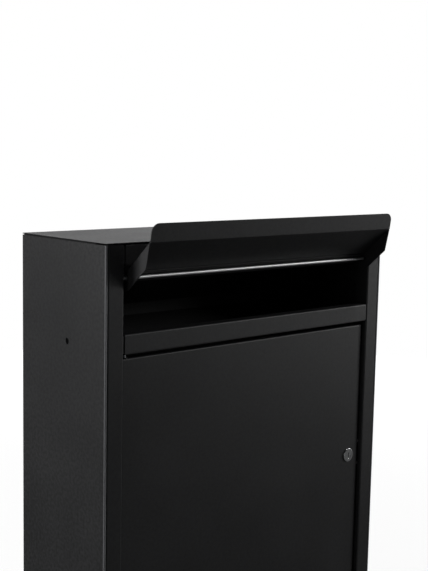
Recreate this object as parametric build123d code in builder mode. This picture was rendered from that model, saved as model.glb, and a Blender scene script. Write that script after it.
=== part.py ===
"""Parcel drop box: a folded sheet-steel cabinet with a rod-hung deposit flap above a
recessed, lockable collection door.

Millimetres. +Z is up, the front faces -Y and the origin is the middle of the base on the
floor. The flap is drawn swung up and open, the door closed and the lock undone.
"""

import os
from math import cos, radians, sin

from build123d import *

os.makedirs("parts", exist_ok=True)

# ---------------------------------------------------------------- driving dimensions
# Cabinet
WIDTH = 600.0
DEPTH = 215.0
HEIGHT = 800.0
SHEET = 1.2
ROOF_SHEET = 1.2
ROOF_GAP = 1.8  # shadow line under the edge of the roof
ROOF_FLANGE = 20.0
ROOF_EDGE = 0.5
SIDE_BEND = 2 * SHEET  # outer bend radius of the side's corners
RETURN_BEND = 1.5  # outer bend radius of the narrow return beside it
SIDE_EDGE = 4.1  # width of the side's folded front edge
SIDE_RETURN = 20.0
REAR_FLANGE = 15.0
FLOOR_FLANGE = 18.0

# Front frame
JAMB_WIDTH = 32.5  # from the outside of the cabinet to the edge of the opening
JAMB_FOLD = 24.0
JAMB_BEND = 1.6
GROOVE = 0.8  # between the side's folded edge and the post
JOGGLE = (5.0, 8.0)  # where the post's outer fold steps out to meet the side's return
RAIL_FOLD = 20.0
RAIL_BEND = 2.2
RAIL_END_GAP = 2.8
HEADER_DROP = 33.3  # from the top of the roof to the top of the slot
SLOT_HEIGHT = 98.8
CROSSBAR_HEIGHT = 29.5
SILL_HEIGHT = 31.0
CLIP_LEG = 26.0
CLIP_MARGIN = 1.2

# Flap and the rod it swings on
ROD_RADIUS = 2.5
ROD_SETBACK = 7.0  # from the front of the cabinet to the rod's axis
ROD_DROP = 18.3  # from the top of the slot to the rod's axis
ROD_OVERRUN = 8.0
ROD_FIT = 0.05
RING_RADIUS = 5.5
RING_THICKNESS = 1.0
RING_GAP = 0.4
FLAP_SHEET = 1.2
FLAP_BEND = 2.0
FLAP_OFFSET = 5.3  # from the rod's axis to the inner face of the flap
FLAP_SIDE_GAP = 6.0
FLAP_SIDE_PLAY = 1.5  # how far the flap sits from the middle, towards the lock
FLAP_TOP_GAP = 2.2
FLAP_BOTTOM_GAP = 2.9
FLAP_OPEN_ANGLE = 131.0
LIP_LENGTH = 27.0
LIP_ANGLE = 40.6
LIP_CORNER = 13.0
LIP_INSET = 1.0
LIP_RELIEF = 2.0
CHEEK_DEPTH = 22.5
CHEEK_SLANT = 31.6
CHEEK_EAR = 5.0
CHEEK_SHOULDER = 6.0  # how far the cheek's free edge runs past the rod's axis
SEAL_THICKNESS = 1.8
SEAL_WIDTH = 24.0
SEAL_END_GAP = 10.0
BUSH_RADIUS = 3.6
BUSH_COLLAR_RADIUS = 4.7
BUSH_COLLAR = 2.0
BUSH_PROUD = 0.3
FLAP_BUFFER_WIDTH = 9.0
FLAP_BUFFER_DEPTH = 6.0
FLAP_BUFFER_SETBACK = 6.5  # from the rod's axis to the front of the buffer
REST_GAP = 0.4  # between a buffer and what closes on it

# Collection door
DOOR_RECESS = 7.0
DOOR_SIDE_GAP = 3.0
DOOR_TOP_GAP = 7.2
DOOR_BOTTOM_GAP = 5.0
DOOR_SHEET = 1.2
DOOR_DEPTH = 18.0
DOOR_BEND = 2.0
DOOR_LIP = 10.0
STIFFENER_CROWN = 30.0
STIFFENER_FOOT = 15.0
STIFFENER_HEIGHT = 14.0
STIFFENER_END_GAP = 4.0
STIFFENER_SPACING = 170.0

# Door pivots
PIVOT_INSET = 8.0  # from the hinge edge of the door to the pivot
PIVOT_SETBACK = 6.0  # from the front of the door to the pivot
PIN_RADIUS = 2.5
PIN_FIT = 0.05
PIN_HEAD_RADIUS = 5.0
PIN_HEAD = 2.5
PIN_ENGAGE = 8.0  # length of pin inside the door
HINGE_PLATE = 4.0
HINGE_PLATE_LENGTH = 26.0
HINGE_PLATE_WIDTH = 13.0
DOOR_BUSH_RADIUS = 3.5
DOOR_BUSH_COLLAR_RADIUS = 5.5
DOOR_BUSH_COLLAR = 1.5

# Cam lock
LOCK_EDGE = 26.0  # from the free edge of the door to the lock's axis
LOCK_HEIGHT = 400.0
LOCK_HEAD_RADIUS = 12.0
LOCK_HEAD = 2.5
LOCK_BARREL_RADIUS = 9.5
LOCK_BARREL = 20.0
PLUG_RADIUS = 7.0
PLUG_FIT = 0.05
PLUG_SHY = 0.4
KEYWAY_LENGTH = 8.0
KEYWAY_WIDTH = 1.8
KEYWAY_DEPTH = 6.0
SPIGOT = 6.0
NUT_FLATS = 24.0
NUT_HEIGHT = 4.0
CAM_THICKNESS = 2.5
CAM_WIDTH = 14.0
CAM_REACH = 34.0
CAM_GAP = 1.0
CAM_SCREW_RADIUS = 2.0
CAM_SCREW_HEAD_RADIUS = 4.5
CAM_SCREW_HEAD = 2.4
CAM_SCREW_LENGTH = 8.0

# Strike, door stops and their fixings
STRIKE_HEIGHT = 60.0
STRIKE_SHEET = 1.5
STRIKE_LEG = 20.0
STRIKE_SCREW_PITCH = 40.0
SCREW_RADIUS = 2.0
SCREW_HEAD_RADIUS = 3.6
SCREW_HEAD = 1.0
SCREW_LENGTH = 7.0
STOP_HEIGHT = 24.0
STOP_SHEET = 1.5
STOP_REACH = 11.0
STOP_END_INSET = 32.0
DOOR_BUFFER_RADIUS = 4.5
DOOR_BUFFER = 5.0

# Inside
CHUTE_REAR_DROP = 14.4  # from the bottom of the slot to the rear of the chute
CHUTE_SLOPE = 30.0
CHUTE_THROAT = 115.0  # from the front of the cabinet to the chute's front edge
CHUTE_UPSTAND = 20.0
CHUTE_HEM = 10.0
CHUTE_SIDE_GAP = 0.3
CHUTE_ANGLE_LEG = 15.0
CHUTE_ANGLE_INSET = 26.0  # from each end of the sloping plate to its brackets
MAT_THICKNESS = 4.0
MAT_MARGIN = 6.0
MAT_FRONT = 32.0
MAT_HOLE_RADIUS = 14.0

# Fixing holes
SIDE_HOLE_RADIUS = 5.0
SIDE_HOLE_SETBACK = 94.3
SIDE_HOLE_DROP = 151.0
ANCHOR_HOLE_RADIUS = 5.5
ANCHOR_SPACING_X = 440.0
ANCHOR_SPACING_Y = 110.0
WALL_HOLE_RADIUS = 4.5
WALL_SPACING_X = 440.0
WALL_SPACING_Z = 600.0
WALL_HOLE_LOW = 120.0

# ---------------------------------------------------------------- places worked out
FRONT = -DEPTH / 2
BACK = DEPTH / 2
HALF_WIDTH = WIDTH / 2
INNER_HALF = HALF_WIDTH - SHEET  # inside face of a side panel
OPENING_HALF = HALF_WIDTH - JAMB_WIDTH
JAMB_OUTER = HALF_WIDTH - SIDE_EDGE
WALL_TOP = HEIGHT - ROOF_SHEET - ROOF_GAP

SLOT_TOP = HEIGHT - HEADER_DROP
SLOT_BOTTOM = SLOT_TOP - SLOT_HEIGHT
CROSSBAR_BOTTOM = SLOT_BOTTOM - CROSSBAR_HEIGHT
SILL_TOP = SILL_HEIGHT
BACK_SKIN = BACK - SHEET  # rear face of the back panel, inside the rear flanges
BACK_INSIDE = BACK_SKIN - SHEET

ROD_Y = FRONT + ROD_SETBACK
ROD_Z = SLOT_TOP - ROD_DROP
FLAP_HALF = OPENING_HALF - FLAP_SIDE_GAP
FLAP_RISE = ROD_DROP - FLAP_TOP_GAP
FLAP_REACH = ROD_Z - SLOT_BOTTOM - FLAP_BOTTOM_GAP

DOOR_FRONT = FRONT + DOOR_RECESS
DOOR_REAR = DOOR_FRONT + DOOR_DEPTH
DOOR_INSIDE = DOOR_FRONT + DOOR_SHEET
DOOR_HALF = OPENING_HALF - DOOR_SIDE_GAP
DOOR_TOP = CROSSBAR_BOTTOM - DOOR_TOP_GAP
DOOR_BOTTOM = SILL_TOP + DOOR_BOTTOM_GAP
PIVOT_X = -DOOR_HALF + PIVOT_INSET
PIVOT_Y = DOOR_FRONT + PIVOT_SETBACK
LOCK_X = DOOR_HALF - LOCK_EDGE
LOCK_REAR = DOOR_FRONT + LOCK_BARREL
CAM_FRONT = LOCK_REAR + CAM_GAP
CAM_REAR = CAM_FRONT + CAM_THICKNESS

CHUTE_FRONT = FRONT + CHUTE_THROAT
CHUTE_REAR_Z = SLOT_BOTTOM - CHUTE_REAR_DROP
CHUTE_RUN = BACK_INSIDE - CHUTE_FRONT
CHUTE_FALL = CHUTE_RUN * sin(radians(CHUTE_SLOPE)) / cos(radians(CHUTE_SLOPE))
CHUTE_FRONT_Z = CHUTE_REAR_Z - CHUTE_FALL
CHUTE_ANGLE_LENGTH = CHUTE_RUN / cos(radians(CHUTE_SLOPE)) - 2 * CHUTE_ANGLE_INSET


# ---------------------------------------------------------------- shared helpers
def block(x_range, y_range, z_range, mode=Mode.ADD):
    """Add or cut a box given by its limits along each axis."""
    middle = [(low + high) / 2 for low, high in (x_range, y_range, z_range)]
    size = [high - low for low, high in (x_range, y_range, z_range)]
    with Locations(tuple(middle)):
        Box(*size, mode=mode)


def rod(start, direction, radius, length, mode=Mode.ADD):
    """Add or cut a round bar that starts at a point and runs along a direction."""
    with BuildSketch(Plane(origin=start, z_dir=direction)) as section:
        Circle(radius)
    extrude(to_extrude=section.sketch, amount=length, mode=mode)


def folded(points, thickness, bend, side=Side.LEFT):
    """Draw the section of a folded sheet, whose skin runs through the points, in the sketch."""
    with BuildLine() as outline:
        FilletPolyline(*points, radius=bend)
        offset(amount=thickness, side=side)
    make_face(outline.edges())


def finish(piece, name):
    """Label a finished piece and write it."""
    piece.part.label = name
    export_step(piece.part, f"parts/{name}.step")


# ---------------------------------------------------------------- cabinet shell
with BuildPart() as side_wall:
    with BuildSketch(Plane.XY):
        folded(
            [
                (-HALF_WIDTH + REAR_FLANGE, BACK),
                (-HALF_WIDTH, BACK),
                (-HALF_WIDTH, FRONT),
                (-JAMB_OUTER, FRONT),
                (-JAMB_OUTER, FRONT + SIDE_RETURN),
            ],
            SHEET,
            [SIDE_BEND, SIDE_BEND, RETURN_BEND],
        )
    extrude(amount=WALL_TOP)

with BuildPart() as side_panel_left:
    add(side_wall.part)
    hole_start = (-HALF_WIDTH - 1, FRONT + SIDE_HOLE_SETBACK, HEIGHT - SIDE_HOLE_DROP)
    rod(hole_start, (1, 0, 0), SIDE_HOLE_RADIUS, SHEET + 2, Mode.SUBTRACT)
finish(side_panel_left, "side_panel_left")

with BuildPart() as side_panel_right:
    add(side_wall.part)
    mirror(about=Plane.YZ, mode=Mode.REPLACE)
finish(side_panel_right, "side_panel_right")

with BuildPart() as back_panel:
    back_half = HALF_WIDTH - SIDE_BEND
    block((-back_half, back_half), (BACK_INSIDE, BACK_SKIN), (0, WALL_TOP))
    wall_middle = (0, BACK_SKIN, WALL_HOLE_LOW + WALL_SPACING_Z / 2)
    with Locations(Plane(origin=wall_middle, x_dir=(1, 0, 0), z_dir=(0, 1, 0))):
        with GridLocations(WALL_SPACING_X, WALL_SPACING_Z, 2, 2):
            Hole(WALL_HOLE_RADIUS)
finish(back_panel, "back_panel")

with BuildPart() as top_panel:
    with BuildSketch(Plane.XY.offset(HEIGHT - ROOF_SHEET)):
        RectangleRounded(WIDTH, DEPTH, SIDE_BEND)
    extrude(amount=ROOF_SHEET)
    fillet(top_panel.faces().sort_by(Axis.Z)[-1].edges(), ROOF_EDGE)
    flange_z = (HEIGHT - ROOF_SHEET - ROOF_FLANGE, HEIGHT - ROOF_SHEET)
    flange_y = (FRONT + JAMB_FOLD + SHEET, BACK_INSIDE - 2 * SHEET)
    block((-INNER_HALF, -INNER_HALF + SHEET), flange_y, flange_z)
    block((INNER_HALF - SHEET, INNER_HALF), flange_y, flange_z)
    flange_x = (-INNER_HALF + SHEET, INNER_HALF - SHEET)
    block(flange_x, (BACK_INSIDE - SHEET, BACK_INSIDE), flange_z)
    rail_rear = FRONT + JAMB_FOLD + SHEET
    block((-OPENING_HALF, OPENING_HALF), (rail_rear, rail_rear + SHEET), flange_z)
finish(top_panel, "top_panel")

with BuildPart() as bottom_panel:
    block((-INNER_HALF, INNER_HALF), (FRONT + SIDE_RETURN + SHEET, BACK_INSIDE), (0, SHEET))
    block((-JAMB_OUTER + SHEET, JAMB_OUTER - SHEET), (FRONT + SHEET, FRONT + SIDE_RETURN + SHEET), (0, SHEET))
    flange_z = (SHEET, SHEET + FLOOR_FLANGE)
    flange_y = (FRONT + JAMB_FOLD + SHEET, BACK_INSIDE - 2 * SHEET)
    block((-INNER_HALF, -INNER_HALF + SHEET), flange_y, flange_z)
    block((INNER_HALF - SHEET, INNER_HALF), flange_y, flange_z)
    block((-INNER_HALF + SHEET, INNER_HALF - SHEET), (BACK_INSIDE - SHEET, BACK_INSIDE), flange_z)
    with Locations((0, 0, SHEET)):
        with GridLocations(ANCHOR_SPACING_X, ANCHOR_SPACING_Y, 2, 2):
            Hole(ANCHOR_HOLE_RADIUS)
finish(bottom_panel, "bottom_panel")

# ---------------------------------------------------------------- front frame
STRIKE_SCREWS_Z = (LOCK_HEIGHT - STRIKE_SCREW_PITCH / 2, LOCK_HEIGHT + STRIKE_SCREW_PITCH / 2)
STRIKE_SCREW_Y = FRONT + JAMB_FOLD / 2


with BuildPart() as jamb_left:
    with BuildSketch(Plane.XY.offset(SHEET)):
        folded(
            [
                (-OPENING_HALF, FRONT + JAMB_FOLD),
                (-OPENING_HALF, FRONT),
                (-JAMB_OUTER + GROOVE, FRONT),
                (-JAMB_OUTER + GROOVE, FRONT + JOGGLE[0]),
                (-JAMB_OUTER, FRONT + JOGGLE[1]),
                (-JAMB_OUTER, FRONT + SIDE_RETURN),
            ],
            SHEET,
            [RAIL_BEND, JAMB_BEND, RETURN_BEND, RETURN_BEND],
            Side.RIGHT,
        )
    extrude(amount=WALL_TOP - SHEET)
    rod((-OPENING_HALF + 1, ROD_Y, ROD_Z), (-1, 0, 0), ROD_RADIUS, SHEET + 2, Mode.SUBTRACT)
finish(jamb_left, "jamb_left")

with BuildPart() as jamb_right:
    add(jamb_left.part)
    mirror(about=Plane.YZ, mode=Mode.REPLACE)
    for screw_z in STRIKE_SCREWS_Z:
        rod((OPENING_HALF - 1, STRIKE_SCREW_Y, screw_z), (1, 0, 0), SCREW_RADIUS, SHEET + 2, Mode.SUBTRACT)
finish(jamb_right, "jamb_right")

RAIL_HALF = OPENING_HALF - RAIL_END_GAP


def rail_points(bottom, top):
    """Outer skin of a rail that is open to the rear, from its top fold to its bottom one."""
    rear = FRONT + RAIL_FOLD
    return [(rear, top), (FRONT, top), (FRONT, bottom), (rear, bottom)]


with BuildPart() as header_rail:
    with BuildSketch(Plane.YZ.offset(-RAIL_HALF)):
        folded(rail_points(SLOT_TOP, WALL_TOP), SHEET, RAIL_BEND)
    extrude(amount=2 * RAIL_HALF)
finish(header_rail, "header_rail")

with BuildPart() as crossbar:
    with BuildSketch(Plane.YZ.offset(-RAIL_HALF)):
        folded(rail_points(CROSSBAR_BOTTOM, SLOT_BOTTOM), SHEET, RAIL_BEND)
    extrude(amount=2 * RAIL_HALF)
    rod((PIVOT_X, PIVOT_Y, CROSSBAR_BOTTOM - 1), (0, 0, 1), PIN_RADIUS, SHEET + 2, Mode.SUBTRACT)
finish(crossbar, "crossbar")

with BuildPart() as sill_rail:
    with BuildSketch(Plane.YZ.offset(-RAIL_HALF)):
        folded(rail_points(SHEET, SILL_TOP), SHEET, RAIL_BEND)
    extrude(amount=2 * RAIL_HALF)
    rod((PIVOT_X, PIVOT_Y, SILL_TOP + 1), (0, 0, -1), PIN_RADIUS, SHEET + 2, Mode.SUBTRACT)
finish(sill_rail, "sill_rail")

with BuildPart() as rail_clips:
    for bottom, top in ((SLOT_TOP, WALL_TOP), (CROSSBAR_BOTTOM, SLOT_BOTTOM), (SHEET, SILL_TOP)):
        clip_z = (bottom + SHEET + CLIP_MARGIN, top - SHEET - CLIP_MARGIN)
        for side in (-1, 1):
            outer = side * OPENING_HALF
            inner = outer - side * CLIP_LEG
            leg = outer - side * SHEET
            block(sorted((outer, inner)), (FRONT + SHEET, FRONT + 2 * SHEET), clip_z)
            block(sorted((outer, leg)), (FRONT + 2 * SHEET, FRONT + RAIL_FOLD), clip_z)
finish(rail_clips, "rail_clips")

# ---------------------------------------------------------------- flap rod and its rings
with BuildPart() as flap_rod:
    rod_half = OPENING_HALF + SHEET + ROD_OVERRUN
    rod((-rod_half, ROD_Y, ROD_Z), (1, 0, 0), ROD_RADIUS, 2 * rod_half)
    chamfer(flap_rod.edges().filter_by(GeomType.CIRCLE), ROD_RADIUS / 5)
finish(flap_rod, "flap_rod")

with BuildPart() as rod_rings:
    bush_end = FLAP_HALF + BUSH_PROUD + RING_GAP
    for middle, ring_x in ((FLAP_SIDE_PLAY, bush_end), (0, OPENING_HALF + SHEET + RING_GAP)):
        for side in (-1, 1):
            start = (middle + side * ring_x, ROD_Y, ROD_Z)
            rod(start, (side, 0, 0), RING_RADIUS, RING_THICKNESS)
            rod(start, (side, 0, 0), ROD_RADIUS, RING_THICKNESS, Mode.SUBTRACT)
finish(rod_rings, "rod_rings")

# ---------------------------------------------------------------- deposit flap
# The flap has its own frame on the rod's axis: "inward" points from the flap's face to the
# rod side, and "upward" from the lip to the hinge edge. Closed, they are +Y and +Z.
SWING = radians(-FLAP_OPEN_ANGLE)
INWARD = Vector(0, cos(SWING), sin(SWING))
UPWARD = Vector(0, -sin(SWING), cos(SWING))
ROD_AXIS = Vector(FLAP_SIDE_PLAY, ROD_Y, ROD_Z)
FLAP_SIDE_VIEW = Plane(origin=ROD_AXIS, x_dir=INWARD, z_dir=(1, 0, 0))
OUTER_SKIN = -FLAP_OFFSET - FLAP_SHEET
LIP_REACH_IN = -LIP_LENGTH * sin(radians(LIP_ANGLE))
LIP_REACH_UP = -LIP_LENGTH * cos(radians(LIP_ANGLE))


def flap_place(x, inward, upward):
    """Turn a place in the flap's own frame, x from its middle, into one in the cabinet's."""
    return Vector(x, 0, 0) + ROD_AXIS + INWARD * inward + UPWARD * upward


with BuildPart() as flap_panel:
    tray_end = flap_place(0, OUTER_SKIN, -FLAP_REACH + LIP_RELIEF)
    free_edge = FLAP_SHEET + CHEEK_DEPTH
    with BuildSketch(Plane(origin=tray_end, x_dir=(1, 0, 0), z_dir=UPWARD)):
        folded(
            [(-FLAP_HALF, free_edge), (-FLAP_HALF, 0), (FLAP_HALF, 0), (FLAP_HALF, free_edge)],
            FLAP_SHEET,
            FLAP_BEND,
            Side.LEFT,
        )
    extrude(amount=FLAP_REACH - LIP_RELIEF + FLAP_RISE)
    with BuildSketch(FLAP_SIDE_VIEW.offset(-FLAP_HALF)):
        with BuildLine():
            cheek_in = -FLAP_OFFSET + CHEEK_DEPTH
            Polyline(
                (OUTER_SKIN, FLAP_RISE),
                (OUTER_SKIN, -FLAP_REACH),
                (cheek_in, -FLAP_REACH + CHEEK_SLANT),
                (cheek_in, CHEEK_SHOULDER),
                (cheek_in - CHEEK_EAR, FLAP_RISE),
                close=True,
            )
        make_face()
    extrude(amount=2 * FLAP_HALF, mode=Mode.INTERSECT)
    lip_half = FLAP_HALF - LIP_INSET
    with BuildSketch(FLAP_SIDE_VIEW.offset(-lip_half)):
        folded(
            [
                (-FLAP_OFFSET, -FLAP_REACH + CHEEK_SLANT),
                (-FLAP_OFFSET, -FLAP_REACH),
                (-FLAP_OFFSET + LIP_REACH_IN, -FLAP_REACH + LIP_REACH_UP),
            ],
            FLAP_SHEET,
            FLAP_BEND,
            Side.RIGHT,
        )
    extrude(amount=2 * lip_half)
    for side in (-1, 1):
        tip = flap_place(side * lip_half, -FLAP_OFFSET + LIP_REACH_IN, -FLAP_REACH + LIP_REACH_UP)
        tip_edges = flap_panel.edges().filter_by(lambda edge: abs(edge.length - FLAP_SHEET) < 0.01)
        fillet(tip_edges.sort_by_distance(tip)[0], LIP_CORNER)
        bore_start = (FLAP_SIDE_PLAY + side * (FLAP_HALF + 1), ROD_Y, ROD_Z)
        rod(bore_start, (-side, 0, 0), BUSH_RADIUS, FLAP_SHEET + 2, Mode.SUBTRACT)
finish(flap_panel, "flap_panel")

with BuildPart() as flap_seal:
    seal_half = FLAP_HALF - SEAL_END_GAP
    with BuildSketch(FLAP_SIDE_VIEW.offset(-seal_half)):
        with Locations((-FLAP_OFFSET + SEAL_THICKNESS / 2, FLAP_RISE - SEAL_WIDTH / 2)):
            Rectangle(SEAL_THICKNESS, SEAL_WIDTH)
    extrude(amount=2 * seal_half)
finish(flap_seal, "flap_seal")

with BuildPart() as flap_bushings:
    for side in (-1, 1):
        collar_x = FLAP_HALF - FLAP_SHEET - BUSH_COLLAR
        start = (FLAP_SIDE_PLAY + side * collar_x, ROD_Y, ROD_Z)
        sleeve = BUSH_COLLAR + FLAP_SHEET + BUSH_PROUD
        rod(start, (side, 0, 0), BUSH_COLLAR_RADIUS, BUSH_COLLAR)
        rod(start, (side, 0, 0), BUSH_RADIUS, sleeve)
        rod(start, (side, 0, 0), ROD_RADIUS + ROD_FIT, sleeve, Mode.SUBTRACT)
finish(flap_bushings, "flap_bushings")

with BuildPart() as flap_buffers:
    buffer_y = ROD_Y + FLAP_BUFFER_SETBACK
    for side in (-1, 1):
        middle = FLAP_SIDE_PLAY + side * (FLAP_HALF - FLAP_SHEET / 2)
        block(
            (middle - FLAP_BUFFER_WIDTH / 2, middle + FLAP_BUFFER_WIDTH / 2),
            (buffer_y, buffer_y + FLAP_BUFFER_DEPTH),
            (SLOT_TOP - FLAP_TOP_GAP + REST_GAP, SLOT_TOP),
        )
    fillet(flap_buffers.edges().filter_by(Axis.Z), 1.5)
finish(flap_buffers, "flap_buffers")

# ---------------------------------------------------------------- collection door
with BuildPart() as door_panel:
    block((-DOOR_HALF, DOOR_HALF), (DOOR_FRONT, DOOR_REAR), (DOOR_BOTTOM, DOOR_TOP))
    fillet(door_panel.faces().sort_by(Axis.Y)[0].edges(), DOOR_BEND)
    offset(amount=-DOOR_SHEET, openings=door_panel.faces().sort_by(Axis.Y)[-1])
    lip_y = (DOOR_REAR - DOOR_SHEET, DOOR_REAR)
    inner_x = DOOR_HALF - DOOR_SHEET
    inner_z = (DOOR_BOTTOM + DOOR_SHEET, DOOR_TOP - DOOR_SHEET)
    for side in (-1, 1):
        block(sorted((side * inner_x, side * (inner_x - DOOR_LIP))), lip_y, inner_z)
    block((-inner_x, inner_x), lip_y, (inner_z[0], inner_z[0] + DOOR_LIP))
    block((-inner_x, inner_x), lip_y, (inner_z[1] - DOOR_LIP, inner_z[1]))
    rod((LOCK_X, DOOR_FRONT - 1, LOCK_HEIGHT), (0, 1, 0), LOCK_BARREL_RADIUS, DOOR_SHEET + 2, Mode.SUBTRACT)
    rod((PIVOT_X, PIVOT_Y, DOOR_TOP + 1), (0, 0, -1), DOOR_BUSH_RADIUS, DOOR_SHEET + 2, Mode.SUBTRACT)
    rod((PIVOT_X, PIVOT_Y, DOOR_BOTTOM - 1), (0, 0, 1), DOOR_BUSH_RADIUS, DOOR_SHEET + 2, Mode.SUBTRACT)
finish(door_panel, "door_panel")

with BuildPart() as door_stiffeners:
    start_z = DOOR_BOTTOM + DOOR_SHEET + DOOR_LIP + STIFFENER_END_GAP
    end_z = DOOR_TOP - DOOR_SHEET - DOOR_LIP - STIFFENER_END_GAP
    half_crown = STIFFENER_CROWN / 2
    half_foot = half_crown + STIFFENER_FOOT
    crown_y = DOOR_INSIDE + STIFFENER_HEIGHT
    for middle in (-STIFFENER_SPACING / 2, STIFFENER_SPACING / 2):
        with BuildSketch(Plane.XY.offset(start_z)):
            folded(
                [
                    (middle - half_foot, DOOR_INSIDE),
                    (middle - half_crown, DOOR_INSIDE),
                    (middle - half_crown, crown_y),
                    (middle + half_crown, crown_y),
                    (middle + half_crown, DOOR_INSIDE),
                    (middle + half_foot, DOOR_INSIDE),
                ],
                DOOR_SHEET,
                DOOR_BEND,
                Side.LEFT,
            )
        extrude(amount=end_z - start_z)
finish(door_stiffeners, "door_stiffeners")

with BuildPart() as hinge_plates:
    for inside_z, upward in ((DOOR_TOP - DOOR_SHEET, -1), (DOOR_BOTTOM + DOOR_SHEET, 1)):
        block(
            (-inner_x, -inner_x + HINGE_PLATE_LENGTH),
            (DOOR_FRONT + DOOR_BEND, DOOR_FRONT + DOOR_BEND + HINGE_PLATE_WIDTH),
            sorted((inside_z, inside_z + upward * HINGE_PLATE)),
        )
        rod((PIVOT_X, PIVOT_Y, inside_z), (0, 0, upward), DOOR_BUSH_RADIUS, HINGE_PLATE, Mode.SUBTRACT)
finish(hinge_plates, "hinge_plates")

with BuildPart() as door_bushings:
    lower_collar = DOOR_BOTTOM_GAP - REST_GAP
    for skin_z, outward, collar in ((DOOR_TOP, 1, DOOR_BUSH_COLLAR), (DOOR_BOTTOM, -1, lower_collar)):
        sleeve = DOOR_SHEET + HINGE_PLATE
        rod((PIVOT_X, PIVOT_Y, skin_z), (0, 0, outward), DOOR_BUSH_COLLAR_RADIUS, collar)
        rod((PIVOT_X, PIVOT_Y, skin_z), (0, 0, -outward), DOOR_BUSH_RADIUS, sleeve)
        bore_start = (PIVOT_X, PIVOT_Y, skin_z + outward * collar)
        rod(bore_start, (0, 0, -outward), PIN_RADIUS + PIN_FIT, collar + sleeve, Mode.SUBTRACT)
finish(door_bushings, "door_bushings")

with BuildPart() as door_pins:
    for fold_z, away, skin_z in (
        (CROSSBAR_BOTTOM + SHEET, 1, DOOR_TOP),
        (SILL_TOP - SHEET, -1, DOOR_BOTTOM),
    ):
        length = abs(fold_z - skin_z) + PIN_ENGAGE
        rod((PIVOT_X, PIVOT_Y, fold_z), (0, 0, -away), PIN_RADIUS, length)
        rod((PIVOT_X, PIVOT_Y, fold_z), (0, 0, away), PIN_HEAD_RADIUS, PIN_HEAD)
finish(door_pins, "door_pins")

# ---------------------------------------------------------------- cam lock
LOCK_FACE = (LOCK_X, DOOR_FRONT, LOCK_HEIGHT)
HEAD_FRONT = DOOR_FRONT - LOCK_HEAD

with BuildPart() as lock_body:
    rod(LOCK_FACE, (0, -1, 0), LOCK_HEAD_RADIUS, LOCK_HEAD)
    fillet(lock_body.edges().group_by(Axis.Y)[0], LOCK_HEAD / 3)
    rod(LOCK_FACE, (0, 1, 0), LOCK_BARREL_RADIUS, LOCK_BARREL)
    bore_start = (LOCK_X, HEAD_FRONT, LOCK_HEIGHT)
    rod(bore_start, (0, 1, 0), PLUG_RADIUS + PLUG_FIT, LOCK_HEAD + LOCK_BARREL, Mode.SUBTRACT)
finish(lock_body, "lock_body")

with BuildPart() as lock_nut:
    with BuildSketch(Plane(origin=(LOCK_X, DOOR_INSIDE, LOCK_HEIGHT), z_dir=(0, 1, 0))):
        RegularPolygon(NUT_FLATS / 2, 6, major_radius=False)
        Circle(LOCK_BARREL_RADIUS, mode=Mode.SUBTRACT)
    extrude(amount=NUT_HEIGHT)
finish(lock_nut, "lock_nut")

with BuildPart() as lock_plug:
    plug_front = HEAD_FRONT + PLUG_SHY
    rod((LOCK_X, plug_front, LOCK_HEIGHT), (0, 1, 0), PLUG_RADIUS, LOCK_REAR + CAM_GAP - plug_front)
    half_spigot = SPIGOT / 2
    block(
        (LOCK_X - half_spigot, LOCK_X + half_spigot),
        (CAM_FRONT, CAM_REAR),
        (LOCK_HEIGHT - half_spigot, LOCK_HEIGHT + half_spigot),
    )
    block(
        (LOCK_X - KEYWAY_WIDTH / 2, LOCK_X + KEYWAY_WIDTH / 2),
        (plug_front, plug_front + KEYWAY_DEPTH),
        (LOCK_HEIGHT - KEYWAY_LENGTH / 2, LOCK_HEIGHT + KEYWAY_LENGTH / 2),
        Mode.SUBTRACT,
    )
    rod((LOCK_X, CAM_REAR, LOCK_HEIGHT), (0, -1, 0), CAM_SCREW_RADIUS, CAM_SCREW_LENGTH, Mode.SUBTRACT)
finish(lock_plug, "lock_plug")

with BuildPart() as lock_cam:
    with BuildSketch(Plane(origin=(LOCK_X, CAM_FRONT, LOCK_HEIGHT), x_dir=(1, 0, 0), z_dir=(0, -1, 0))):
        Circle(CAM_WIDTH / 2)
        with Locations((0, (CAM_REACH - CAM_WIDTH / 2) / 2)):
            Rectangle(CAM_WIDTH, CAM_REACH - CAM_WIDTH / 2)
        with Locations((0, CAM_REACH - CAM_WIDTH / 2)):
            Circle(CAM_WIDTH / 2)
        Rectangle(SPIGOT, SPIGOT, mode=Mode.SUBTRACT)
    extrude(amount=-CAM_THICKNESS)
finish(lock_cam, "lock_cam")

with BuildPart() as cam_screw:
    rod((LOCK_X, CAM_REAR, LOCK_HEIGHT), (0, 1, 0), CAM_SCREW_HEAD_RADIUS, CAM_SCREW_HEAD)
    fillet(cam_screw.edges().group_by(Axis.Y)[-1], CAM_SCREW_HEAD / 3)
    rod((LOCK_X, CAM_REAR, LOCK_HEIGHT), (0, -1, 0), CAM_SCREW_RADIUS, CAM_SCREW_LENGTH)
finish(cam_screw, "cam_screw")

# ---------------------------------------------------------------- strike and door stops
JAMB_HIDDEN = OPENING_HALF + SHEET  # hidden face of the right jamb's fold

with BuildPart() as strike_plate:
    with BuildSketch(Plane.XY.offset(LOCK_HEIGHT - STRIKE_HEIGHT / 2)):
        strike_rear = CAM_FRONT - CAM_GAP
        folded(
            [
                (JAMB_HIDDEN, FRONT + JAMB_FOLD / 4),
                (JAMB_HIDDEN, strike_rear),
                (JAMB_HIDDEN + STRIKE_LEG, strike_rear),
            ],
            STRIKE_SHEET,
            RAIL_BEND,
            Side.RIGHT,
        )
    extrude(amount=STRIKE_HEIGHT)
    for screw_z in STRIKE_SCREWS_Z:
        start = (JAMB_HIDDEN - 1, STRIKE_SCREW_Y, screw_z)
        rod(start, (1, 0, 0), SCREW_RADIUS, STRIKE_SHEET + 2, Mode.SUBTRACT)
finish(strike_plate, "strike_plate")

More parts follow.
